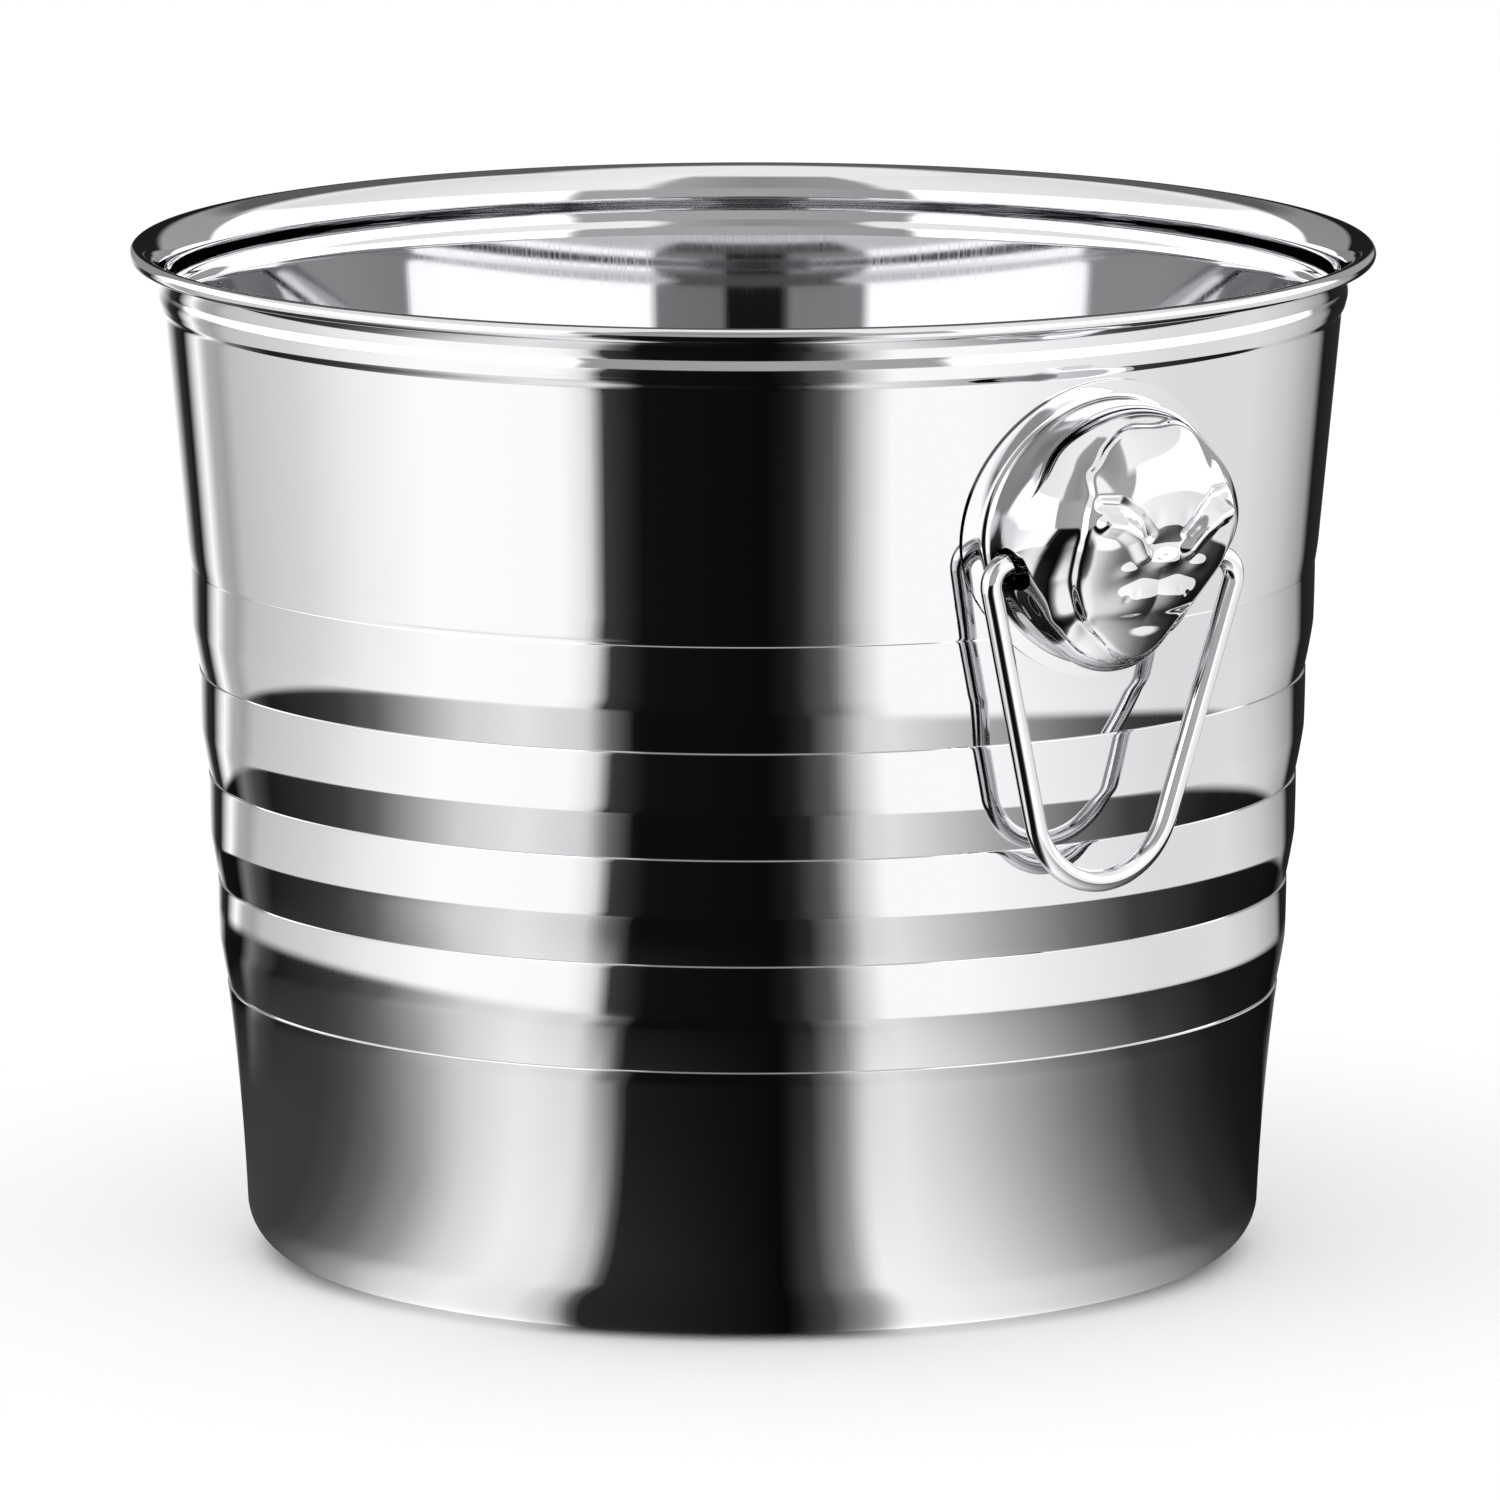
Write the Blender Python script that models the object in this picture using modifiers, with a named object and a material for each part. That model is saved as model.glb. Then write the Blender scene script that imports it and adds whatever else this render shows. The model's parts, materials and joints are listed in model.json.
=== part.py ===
"""A champagne bucket of polished stainless steel, with a ring handle on each side.

The pieces are the drawn and rolled bucket, two pressed animal masks tacked to its wall, and two
wire rings whose ends turn in the cheeks of the masks.
Units are metres, +Z is up, and the origin is the centre of the face that the bucket stands on.
The masks are on +X and -X.
"""

from math import acos, atan2, cos, exp, hypot, pi, radians, sin, sqrt

import bmesh
import bpy
from mathutils import Matrix, Vector

MM = 0.001
GAP = 0.3 * MM  # between pieces that touch
MERGE = 0.01 * MM

# Facets
ROUND_STEPS = 40  # round the bucket
MASK_STEPS = 28
HOLE_STEPS = 16

# The bucket: one drawn sheet, turned from the profile of its outer face
SHEET = 0.7 * MM
HEIGHT = 188.0 * MM
LIP_RADIUS = 115.2 * MM
LIP_OVERHANG = 5.5 * MM  # of the lip past the neck
LIP_SWEEP = radians(65)  # how far the lip flares before its edge is rolled
CURL_RADIUS = 0.75 * MM  # inside the rolled edge
CURL_TURN = radians(235)
NECK_HEIGHT = 3.6 * MM
NECK_BULGE = 0.35 * MM
STEP_HEIGHT = 2.0 * MM  # of the shoulder between the neck and the wall
STEP_DEPTH = 0.8 * MM
WALL_TAPER = 0.0955  # radius lost for each unit of depth

# The hoops: each stands upright at its top and leans in at its foot
HOOP_COUNT = 4
HOOP_PITCH = 19.7 * MM
FIRST_CREASE_DEPTH = 58.8 * MM  # below the top of the bucket
HOOP_STEP = 1.65 * MM  # radius lost from one crease to the next
SHOULDER_LENGTH = 9.0 * MM  # the end of the plain wall, which turns in to the first crease
SHOULDER_TURN = 0.6 * MM

# The foot
FOOT_INSET = 31.0 * MM  # of the edge of the flat foot from the lip
CORNER_RADIUS = 9.9 * MM
SKIRT_TAPER = 0.045  # just above the corner
PANEL_MARGIN = 13.0 * MM  # from the edge of the flat foot to the raised panel
PANEL_SLOPE = 3.0 * MM
PANEL_RISE = 1.2 * MM

# The masks
MASK_DEPTH = 40.1 * MM  # of the middle of a mask below the top of the bucket
MASK_SHEET = 0.8 * MM
HEAD_HALF_WIDTH = 23.9 * MM
HEAD_HALF_HEIGHT = 23.9 * MM
HEAD_BASE = 3.5 * MM  # of the widest section from the wall
HEAD_REACH = 20.5 * MM  # from the widest section to the front
HEAD_FULLNESS = 2.2  # exponent of its section, where 2 is an ellipse
CHIN_NARROWING = 0.15
BRIM_WIDTH = 5.6 * MM  # beside the head
BRIM_HEIGHT = 3.5 * MM  # above and below it
BRIM_FILLET = 1.2 * MM

# Swells and hollows of the face: place across and up, spread and height, each in mm
FOREHEAD = (0, 7, 9, 2.0)
EYE = (7, -3.0, 2.6, -1.6)
MUZZLE = (0, -8.5, 6.0, 4.0)
CHIN = (0, -17, 4.5, 2.0)

# The rings
WIRE_RADIUS = 2.0 * MM
HINGE_DROP = 5.2 * MM  # of the hinge below the middle of the mask
HINGE_STANDOFF = 4.5 * MM  # of the hinge from the wall
RING_LENGTH = 58.4 * MM  # from the hinge to the middle of the wire at the bottom
RING_BEND = 4.0 * MM
RING_BOW = 15.4 * MM  # radius of the bottom
RING_STUB = 5.0 * MM  # straight end inside the cheek
LEG_CLEARANCE = 1.4 * MM  # between a leg and the cheek that it passes
HOLE_CLEARANCE = 1.6 * MM  # of the cheek hole round the wire
HOLE_PLAY = 1.1 * MM  # of it below the wire


def clear_scene():
    for obj in list(bpy.data.objects):
        bpy.data.objects.remove(obj)


def new_collection(name):
    collection = bpy.data.collections.new(name)
    bpy.context.scene.collection.children.link(collection)
    return collection


def add_object(name, data, collection):
    obj = bpy.data.objects.new(name, data)
    collection.objects.link(obj)
    return obj


def steel(name, grey, roughness):
    material = bpy.data.materials.new(name)
    material.use_nodes = True
    shader = material.node_tree.nodes["Principled BSDF"]
    shader.inputs["Base Color"].default_value = (grey, grey, grey, 1)
    shader.inputs["Metallic"].default_value = 1
    shader.inputs["Roughness"].default_value = roughness
    return material


def evaluated_mesh(obj):
    graph = bpy.context.evaluated_depsgraph_get()
    return bpy.data.meshes.new_from_object(obj.evaluated_get(graph))


def add_sheet(obj, thickness):
    """Gives a surface the thickness of its sheet, behind the face that was drawn."""
    sheet = obj.modifiers.new("Sheet", "SOLIDIFY")
    sheet.thickness = thickness
    sheet.offset = -1
    sheet.use_even_offset = True


def line_bmesh(points):
    bm = bmesh.new()
    verts = [bm.verts.new(point) for point in points]
    for a, b in zip(verts, verts[1:]):
        bm.edges.new((a, b))
    return bm


def shares(count):
    """1/count, 2/count and so on up to 1."""
    return [(i + 1) / count for i in range(count)]


# ---- The bucket ----

NECK_RADIUS = LIP_RADIUS - LIP_OVERHANG
CURL_MIDDLE = (LIP_RADIUS - CURL_RADIUS - SHEET, HEIGHT - CURL_RADIUS - SHEET)
# The flare is an arc, upright at the neck, that runs into the rolled edge.
FLARE_RADIUS = (CURL_MIDDLE[0] - NECK_RADIUS - CURL_RADIUS * cos(LIP_SWEEP)) / (1 - cos(LIP_SWEEP))
NECK_TOP = CURL_MIDDLE[1] - (FLARE_RADIUS - CURL_RADIUS) * sin(LIP_SWEEP)
NECK_BOTTOM = NECK_TOP - NECK_HEIGHT
WALL_TOP = NECK_BOTTOM - STEP_HEIGHT
FIRST_CREASE = HEIGHT - FIRST_CREASE_DEPTH
LAST_CREASE = FIRST_CREASE - HOOP_PITCH * HOOP_COUNT


def wall_radius(z):
    """Outer radius of the plain tapered wall, and of the same cone carried on below it."""
    return NECK_RADIUS - STEP_DEPTH - (WALL_TOP - z) * WALL_TAPER


def wall_face(y, z):
    """X of the wall's outer face, on the +X side."""
    return sqrt(wall_radius(z) ** 2 - y * y)


def crease_radius(index):
    return wall_radius(FIRST_CREASE) - SHOULDER_TURN - HOOP_STEP * index


def rim_profile():
    """The rolled edge, from the cut end of the sheet, and the flare down to the neck."""
    points = []
    curl_r, curl_z = CURL_MIDDLE
    for share in [0] + shares(7):
        turn = LIP_SWEEP + CURL_TURN * (1 - share)
        points.append((curl_r - CURL_RADIUS * cos(turn), curl_z + CURL_RADIUS * sin(turn)))
    for share in shares(4):
        turn = LIP_SWEEP * (1 - share)
        points.append((NECK_RADIUS + FLARE_RADIUS * (1 - cos(turn)), NECK_TOP + FLARE_RADIUS * sin(turn)))
    return points


def upper_wall_profile():
    """The neck's shallow bead, the step, and the plain wall with its end turned in."""
    points = [
        (NECK_RADIUS + NECK_BULGE, NECK_BOTTOM + NECK_HEIGHT / 2),
        (NECK_RADIUS, NECK_BOTTOM),
        (wall_radius(WALL_TOP), WALL_TOP),
    ]
    for share in [0] + shares(3):
        z = FIRST_CREASE + SHOULDER_LENGTH * (1 - share)
        points.append((wall_radius(z) - SHOULDER_TURN * share**2, z))
    return points


def hoop_profile(index):
    top = FIRST_CREASE - HOOP_PITCH * index
    return [(crease_radius(index) - HOOP_STEP * share**2, top - HOOP_PITCH * share) for share in shares(3)]


FOOT_RADIUS = LIP_RADIUS - FOOT_INSET


def foot_profile():
    """The skirt, the rounded corner, the flat foot and the raised panel inside it."""
    skirt = LAST_CREASE - CORNER_RADIUS
    corner_top = FOOT_RADIUS + CORNER_RADIUS
    bow = crease_radius(HOOP_COUNT) - corner_top - SKIRT_TAPER * skirt
    points = []
    for share in shares(3):
        rise = 1 - share
        points.append((corner_top + SKIRT_TAPER * skirt * rise + bow * rise**2, CORNER_RADIUS + skirt * rise))
    for share in shares(4):
        turn = share * pi / 2
        points.append((FOOT_RADIUS + CORNER_RADIUS * cos(turn), CORNER_RADIUS * (1 - sin(turn))))
    panel = FOOT_RADIUS - PANEL_MARGIN
    return points + [(panel, 0), (panel - PANEL_SLOPE, PANEL_RISE), (0, PANEL_RISE)]


def make_bucket(collection, material):
    points = rim_profile() + upper_wall_profile()
    for index in range(HOOP_COUNT):
        points += hoop_profile(index)
    points += foot_profile()
    mesh = bpy.data.meshes.new("bucket_body")
    bm = line_bmesh([(r, 0, z) for r, z in points])
    bm.to_mesh(mesh)
    bm.free()
    mesh.materials.append(material)
    bucket = add_object("bucket_body", mesh, collection)
    turned = bucket.modifiers.new("Turned", "SCREW")
    turned.steps = turned.render_steps = ROUND_STEPS
    turned.use_merge_vertices = True
    turned.merge_threshold = MERGE
    turned.use_smooth_shade = True
    add_sheet(bucket, SHEET)


# ---- The masks, made on +X ----

MASK_HEIGHT = HEIGHT - MASK_DEPTH
HEAD_FRONT = HEAD_BASE + HEAD_REACH
HINGE_HEIGHT = MASK_HEIGHT - HINGE_DROP
HINGE = Vector((wall_radius(HINGE_HEIGHT) + HINGE_STANDOFF, 0, HINGE_HEIGHT))


def head_profile():
    """Half section of the plain head as (distance from the wall, radius), from front to brim."""
    power = 2 / HEAD_FULLNESS
    points = [(HEAD_FRONT, 0)]
    for share in shares(8):
        turn = share * pi / 2
        reach = max(0.0, cos(turn)) ** power
        points.append((HEAD_BASE + HEAD_REACH * reach, HEAD_HALF_WIDTH * sin(turn) ** power))
    for share in [0] + shares(2):
        turn = share * pi / 2
        points.append(
            (MASK_SHEET + BRIM_FILLET * (1 - sin(turn)), HEAD_HALF_WIDTH + BRIM_FILLET * (1 - cos(turn)))
        )
    points.append((MASK_SHEET, HEAD_HALF_WIDTH + BRIM_WIDTH))
    return points


def face_relief(across, up):
    left_eye = (-EYE[0],) + EYE[1:]
    relief = 0
    for middle, height, spread, swell in (FOREHEAD, EYE, left_eye, MUZZLE, CHIN):
        distance = hypot(across / MM - middle, up / MM - height)
        relief += swell * MM * exp(-(distance**2) / (2 * spread**2))
    return relief


def shape_and_seat(bm):
    """Makes the round head an egg with a face, and bends its brim to the wall."""
    flat = wall_radius(MASK_HEIGHT)
    for vert in bm.verts:
        off_wall, across, up = vert.co
        brim = max(0.0, hypot(across, up) - HEAD_HALF_WIDTH)
        up -= brim * (1 - BRIM_HEIGHT / BRIM_WIDTH) * up / HEAD_HALF_WIDTH
        lower = max(0.0, -up / HEAD_HALF_WIDTH)
        across *= 1 - CHIN_NARROWING * lower**2
        up *= HEAD_HALF_HEIGHT / HEAD_HALF_WIDTH
        front = off_wall / HEAD_FRONT
        bend = wall_face(across, MASK_HEIGHT + up) - flat
        relief = face_relief(across, up) * min(1.0, max(0.0, 2 * front - 0.6))
        vert.co = (flat + GAP + off_wall + bend * (1 - front) + relief, across, MASK_HEIGHT + up)


def add_cheek_cutter(collection):
    """One round bar through both cheeks, set so that the wire rests low in each hole."""
    radius = WIRE_RADIUS + HOLE_CLEARANCE
    bm = bmesh.new()
    length = 3 * HEAD_HALF_WIDTH
    bmesh.ops.create_cone(
        bm, cap_ends=True, segments=HOLE_STEPS, radius1=radius, radius2=radius, depth=length
    )
    mesh = bpy.data.meshes.new("cheek_cutter")
    bm.to_mesh(mesh)
    bm.free()
    cutter = add_object("cheek_cutter", mesh, collection)
    cutter.rotation_euler.x = pi / 2
    cutter.location = HINGE + Vector((0, 0, HOLE_CLEARANCE - HOLE_PLAY))
    cutter.hide_render = True
    cutter.display_type = "WIRE"
    return cutter


def make_mask_mesh(cutters, material):
    bm = line_bmesh([(off_wall, 0, radius) for off_wall, radius in head_profile()])
    bmesh.ops.spin(
        bm,
        geom=bm.verts[:] + bm.edges[:],
        cent=(0, 0, 0),
        axis=(1, 0, 0),
        angle=2 * pi,
        steps=MASK_STEPS,
        use_merge=True,
    )
    bmesh.ops.remove_doubles(bm, verts=bm.verts, dist=MERGE)
    shape_and_seat(bm)
    bmesh.ops.recalc_face_normals(bm, faces=bm.faces)
    front = max(bm.faces, key=lambda face: face.calc_center_median().x)
    if front.normal.x < 0:
        bmesh.ops.reverse_faces(bm, faces=bm.faces)
    shape = bpy.data.meshes.new("mask_surface")
    bm.to_mesh(shape)
    bm.free()
    guide = add_object("mask_surface", shape, cutters)
    guide.hide_render = True
    guide.display_type = "WIRE"
    add_sheet(guide, MASK_SHEET)
    holes = guide.modifiers.new("Cheek holes", "BOOLEAN")
    holes.operation = "DIFFERENCE"
    holes.object = add_cheek_cutter(cutters)
    bpy.context.view_layer.update()
    mesh = evaluated_mesh(guide)
    mesh.materials.clear()
    mesh.materials.append(material)
    mesh.shade_smooth()
    mesh.set_sharp_from_angle(angle=radians(35))
    return mesh


# ---- The rings ----

RING_SHOULDER = HEAD_HALF_WIDTH + LEG_CLEARANCE + WIRE_RADIUS  # half the widest spacing of the legs


def arc(middle, radius, start, end, count):
    angles = [start + (end - start) * share for share in [0] + shares(count)]
    return [(middle[0] + radius * cos(a), middle[1] + radius * sin(a)) for a in angles]


def ring_half():
    """Middle of the wire from its end in the +Y cheek to the bottom, as (y, z) from the hinge."""
    bend = (RING_SHOULDER - RING_BEND, -RING_BEND)
    bow = (0, RING_BOW - RING_LENGTH)
    # The leg is the outer tangent of the bend and the bow, and faces this way.
    apart = hypot(bend[0] - bow[0], bend[1] - bow[1])
    facing = atan2(bend[1] - bow[1], bend[0] - bow[0]) - acos((RING_BOW - RING_BEND) / apart)
    points = [(bend[0] - RING_STUB, 0)]
    points += arc(bend, RING_BEND, pi / 2, facing, 5)
    points += arc(bow, RING_BOW, facing, -pi / 2, 6)
    return points


def make_ring_curve(material):
    half = ring_half()
    route = half + [(-y, z) for y, z in reversed(half[:-1])]
    curve = bpy.data.curves.new("ring_handle", "CURVE")
    curve.dimensions = "3D"
    curve.bevel_depth = WIRE_RADIUS
    curve.bevel_resolution = 3
    curve.use_fill_caps = True
    spline = curve.splines.new("POLY")
    spline.points.add(len(route) - 1)
    for point, (y, z) in zip(spline.points, route):
        point.co = (0, y, z, 1)
    curve.materials.append(material)
    return curve


def main():
    clear_scene()
    parts = new_collection("champagne_bucket")
    cutters = new_collection("cutters")
    make_bucket(parts, steel("polished_sheet_steel", 0.62, 0.12))
    mask = make_mask_mesh(cutters, steel("polished_pressed_steel", 0.62, 0.1))
    ring = make_ring_curve(steel("polished_steel_wire", 0.64, 0.08))
    for side, turn in (("right", 0), ("left", pi)):
        about_z = Matrix.Rotation(turn, 4, "Z")
        add_object("mask_" + side, mask, parts).rotation_euler.z = turn
        handle = add_object("ring_handle_" + side, ring, parts)
        handle.location = about_z @ HINGE
        handle.rotation_euler.z = turn


main()
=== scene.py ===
# %% [markdown]
# # A champagne bucket in polished steel
#
# The bucket is one drawn sheet of stainless steel with a rolled lip and four rolled hoops. A
# hollow pressed animal mask is tacked to each side, and a wire ring hangs from its cheeks.
#
# Polished steel has almost no colour of its own: what the eye reads as steel is the studio that
# it mirrors. So this lesson spends its effort on two things, smooth accurate surfaces and the
# tent that they reflect: a glowing shell, seen only in the steel, painted with white bands and
# black flag bands as painted reflections.
#
# The imported model comes first. It fixes every size and place, and the fine pieces are built
# round it.

import json
from math import acos, atan2, cos, degrees, exp, hypot, pi, radians, sin, sqrt

import bmesh
import bpy
from mathutils import Matrix, Vector


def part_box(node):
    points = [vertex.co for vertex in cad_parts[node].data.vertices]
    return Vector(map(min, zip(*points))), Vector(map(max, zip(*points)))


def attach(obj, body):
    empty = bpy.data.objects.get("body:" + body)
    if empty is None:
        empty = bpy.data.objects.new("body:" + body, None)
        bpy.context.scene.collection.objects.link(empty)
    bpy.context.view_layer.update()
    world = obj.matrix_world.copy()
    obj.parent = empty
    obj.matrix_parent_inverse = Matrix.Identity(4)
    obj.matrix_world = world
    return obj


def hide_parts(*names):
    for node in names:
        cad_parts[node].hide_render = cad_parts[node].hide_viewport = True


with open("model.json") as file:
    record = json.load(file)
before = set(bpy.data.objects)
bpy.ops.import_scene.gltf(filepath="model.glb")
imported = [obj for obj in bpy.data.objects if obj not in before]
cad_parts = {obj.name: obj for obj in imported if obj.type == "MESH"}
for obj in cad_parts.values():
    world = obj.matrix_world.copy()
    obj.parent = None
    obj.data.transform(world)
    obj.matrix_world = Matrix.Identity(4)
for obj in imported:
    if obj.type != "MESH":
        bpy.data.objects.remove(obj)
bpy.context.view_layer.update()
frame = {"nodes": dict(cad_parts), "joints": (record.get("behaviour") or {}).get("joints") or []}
MM = 0.001
print("nodes:", sorted(frame["nodes"]))

# %% [markdown]
# ## Helpers
#
# Most pieces start as a thin line of vertices that an operator then spins or extrudes. A finished
# piece is a mesh whose object stays at the origin, rides on a body and stands for a CAD node.

# %% Small helpers for lines, arcs and finished pieces
MERGE = 0.002 * MM


def shares(count):
    """1/count, 2/count and so on up to 1."""
    return [(i + 1) / count for i in range(count)]


def arc(middle, radius, start, end, count):
    """Points on an arc in a plane, from one angle to another, both ends included."""
    angles = [start + (end - start) * share for share in [0] + shares(count)]
    return [(middle[0] + radius * cos(a), middle[1] + radius * sin(a)) for a in angles]


def line_bmesh(points):
    bm = bmesh.new()
    verts = [bm.verts.new(point) for point in points]
    for a, b in zip(verts, verts[1:]):
        bm.edges.new((a, b))
    return bm


def mesh_object(bm, name):
    mesh = bpy.data.meshes.new(name)
    bm.to_mesh(mesh)
    bm.free()
    obj = bpy.data.objects.new(name, mesh)
    bpy.context.scene.collection.objects.link(obj)
    return obj


def add_sheet(obj, thickness):
    """Gives a surface the thickness of its sheet, behind the face that was modelled."""
    sheet = obj.modifiers.new("Sheet", "SOLIDIFY")
    sheet.thickness = thickness
    sheet.offset = -1
    sheet.use_even_offset = True


def bake_modifiers(obj):
    """Replaces the mesh by what its modifiers make of it."""
    bpy.context.view_layer.update()
    graph = bpy.context.evaluated_depsgraph_get()
    mesh = bpy.data.meshes.new_from_object(obj.evaluated_get(graph))
    obj.modifiers.clear()
    obj.data = mesh


def smooth(mesh, angle=40):
    mesh.shade_smooth()
    mesh.set_sharp_from_angle(angle=radians(angle))


def finish_piece(obj, material, body, node):
    obj.data.materials.clear()
    obj.data.materials.append(material)
    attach(obj, body)
    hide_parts(node)
    obj.data.calc_loop_triangles()
    print(f"{obj.name}: {len(obj.data.loop_triangles)} triangles, for {node}")


# %% [markdown]
# ## Steel
#
# All five pieces are 18/8 stainless steel, bright polished. The sheet keeps a faint upright grain
# from the belts that finished it before it was drawn, so its reflections are crisp up and down and
# slightly smeared sideways. The masks and the wire were polished on a wheel after forming.
#
# Stainless reflects about two thirds of the light, nearly without colour. The real grain is some
# 0.05 mm wide, too fine to show here, so it is drawn at 0.5 mm.


# %% One function that adds a node, and one that reads a colour
def node(tree, kind, settings=None, **inputs):
    """Adds a node. An input is a value, or an output socket to link."""
    made = tree.nodes.new(kind)
    for key, value in (settings or {}).items():
        setattr(made, key, value)
    for key, value in inputs.items():
        socket = made.inputs[int(key[1:]) if key[0] == "i" and key[1:].isdigit() else key.replace("_", " ")]
        if isinstance(value, bpy.types.NodeSocket):
            tree.links.new(value, socket)
        else:
            socket.default_value = value
    return made


def srgb(hex_text, alpha=1.0):
    """An sRGB hex colour as linear RGBA."""
    channels = [int(hex_text[i : i + 2], 16) / 255 for i in (1, 3, 5)]
    return tuple(c / 12.92 if c <= 0.04045 else ((c + 0.055) / 1.055) ** 2.4 for c in channels) + (alpha,)


def new_material(name):
    material = bpy.data.materials.new(name)
    material.use_nodes = True
    tree = material.node_tree
    tree.nodes.clear()
    return material, tree


# %% The three finishes
GRAIN_WIDTH = 0.5 * MM
GRAIN_LENGTH = 60 * MM
GRAIN_RADIUS = 105 * MM  # of the wall that carries it
GRAIN_HEIGHT = 0.01 * MM
SCRATCH_SIZE = 3 * MM
SCRATCH_HEIGHT = 0.02 * MM


def add_steel(tree, colour, pattern, pattern_range, roughness_range, bump_strength, bump_height):
    """Steel whose roughness and height both follow one pattern."""
    rough = node(
        tree,
        "ShaderNodeMapRange",
        Value=pattern,
        From_Min=pattern_range[0],
        From_Max=pattern_range[1],
        To_Min=roughness_range[0],
        To_Max=roughness_range[1],
    )
    bump = node(tree, "ShaderNodeBump", Height=pattern, Strength=bump_strength, Distance=bump_height)
    shader = node(
        tree,
        "ShaderNodeBsdfPrincipled",
        Base_Color=srgb(colour),
        Metallic=1.0,
        Roughness=rough.outputs["Result"],
        Normal=bump.outputs[0],
    )
    node(tree, "ShaderNodeOutputMaterial", Surface=shader.outputs[0])


def grained_sheet_steel():
    """Belt-ground, bright-drawn sheet. The grain runs up the wall, so it is laid out on the
    angle round the bucket."""
    material, tree = new_material("grained_stainless_sheet")
    place = node(tree, "ShaderNodeTexCoord").outputs["Object"]
    axes = node(tree, "ShaderNodeSeparateXYZ", i0=place).outputs
    turn = node(tree, "ShaderNodeMath", {"operation": "ARCTAN2"}, i0=axes["Y"], i1=axes["X"])
    round_way = node(
        tree, "ShaderNodeMath", {"operation": "MULTIPLY"}, i0=turn.outputs[0], i1=GRAIN_RADIUS / GRAIN_WIDTH
    )
    up_way = node(tree, "ShaderNodeMath", {"operation": "DIVIDE"}, i0=axes["Z"], i1=GRAIN_LENGTH)
    unrolled = node(tree, "ShaderNodeCombineXYZ", X=round_way.outputs[0], Y=up_way.outputs[0])
    grain = node(tree, "ShaderNodeTexNoise", Vector=unrolled.outputs[0], Scale=1.0, Detail=3.0)
    add_steel(tree, "#d2d2d4", grain.outputs["Fac"], (0.3, 0.7), (0.02, 0.05), 0.08, GRAIN_HEIGHT)
    return material


def wheel_polished_steel(name, colour, roughness):
    """Mopped on a wheel: nearly a mirror, with faint wide marks where the mop turned."""
    material, tree = new_material(name)
    place = node(tree, "ShaderNodeTexCoord").outputs["Object"]
    marks = node(tree, "ShaderNodeTexNoise", Vector=place, Scale=1 / SCRATCH_SIZE, Detail=4.0)
    roughness_range = (roughness, roughness + 0.04)
    add_steel(tree, colour, marks.outputs["Fac"], (0.35, 0.7), roughness_range, 0.1, SCRATCH_HEIGHT)
    return material


SHEET_STEEL = grained_sheet_steel()
PRESSED_STEEL = wheel_polished_steel("mopped_pressed_stainless", "#d6d6d8", 0.02)
WIRE_STEEL = wheel_polished_steel("mopped_stainless_wire", "#dadadc", 0.02)
print("finishes:", SHEET_STEEL.name, PRESSED_STEEL.name, WIRE_STEEL.name)

# %% [markdown]
# ## The bucket
#
# A bucket like this is drawn from a disc, and its lip, neck and hoops are rolled in afterwards on
# a lathe. Its shape is the outline of one side turned through a full circle. So the outline is
# drawn as a line of vertices, with arcs where the roller left them, and spun round.
#
# The line runs down the outer face, from the cut edge hidden in the rolled lip to the middle of
# the base. The sheet's thickness is added behind it.

# %% Sizes of the bucket
ROUND_STEPS = 224
SHEET = 0.7 * MM
LIP_RADIUS = 115.2 * MM
LIP_SWEEP = radians(65)
CURL_RADIUS = 0.75 * MM
CURL_TURN = radians(235)
NECK_RADIUS = 109.7 * MM
NECK_HEIGHT = 3.6 * MM
NECK_BULGE = 0.35 * MM
STEP_HEIGHT = 2.0 * MM
STEP_DEPTH = 0.8 * MM
WALL_TAPER = 0.0955
HOOP_COUNT = 4
HOOP_PITCH = 19.7 * MM
HOOP_STEP = 1.65 * MM
FIRST_CREASE_DEPTH = 58.8 * MM
SHOULDER_LENGTH = 5.0 * MM
SHOULDER_TURN = 0.25 * MM
FOOT_RADIUS = 84.2 * MM
CORNER_RADIUS = 9.9 * MM
SKIRT_TAPER = 0.045
PANEL_MARGIN = 13.0 * MM
PANEL_SLOPE = 3.0 * MM
PANEL_RISE = 1.2 * MM

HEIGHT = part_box("bucket_body")[1].z
CURL_MIDDLE = (LIP_RADIUS - CURL_RADIUS - SHEET, HEIGHT - CURL_RADIUS - SHEET)
FLARE_RADIUS = (CURL_MIDDLE[0] - NECK_RADIUS - CURL_RADIUS * cos(LIP_SWEEP)) / (1 - cos(LIP_SWEEP))
NECK_TOP = CURL_MIDDLE[1] - (FLARE_RADIUS - CURL_RADIUS) * sin(LIP_SWEEP)
NECK_BOTTOM = NECK_TOP - NECK_HEIGHT
WALL_TOP = NECK_BOTTOM - STEP_HEIGHT
FIRST_CREASE = HEIGHT - FIRST_CREASE_DEPTH
LAST_CREASE = FIRST_CREASE - HOOP_PITCH * HOOP_COUNT
print(f"neck from {NECK_TOP / MM:.1f} to {NECK_BOTTOM / MM:.1f} mm")
print(f"first crease at {FIRST_CREASE / MM:.1f} mm")


# %% The outline, from the rolled edge to the foot
def wall_radius(z):
    """Outer radius of the plain tapered wall, and of the same cone carried on below it."""
    return NECK_RADIUS - STEP_DEPTH - (WALL_TOP - z) * WALL_TAPER


def wall_face(y, z):
    return sqrt(wall_radius(z) ** 2 - y * y)


def crease_radius(index):
    return wall_radius(FIRST_CREASE) - SHOULDER_TURN - HOOP_STEP * index


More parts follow.
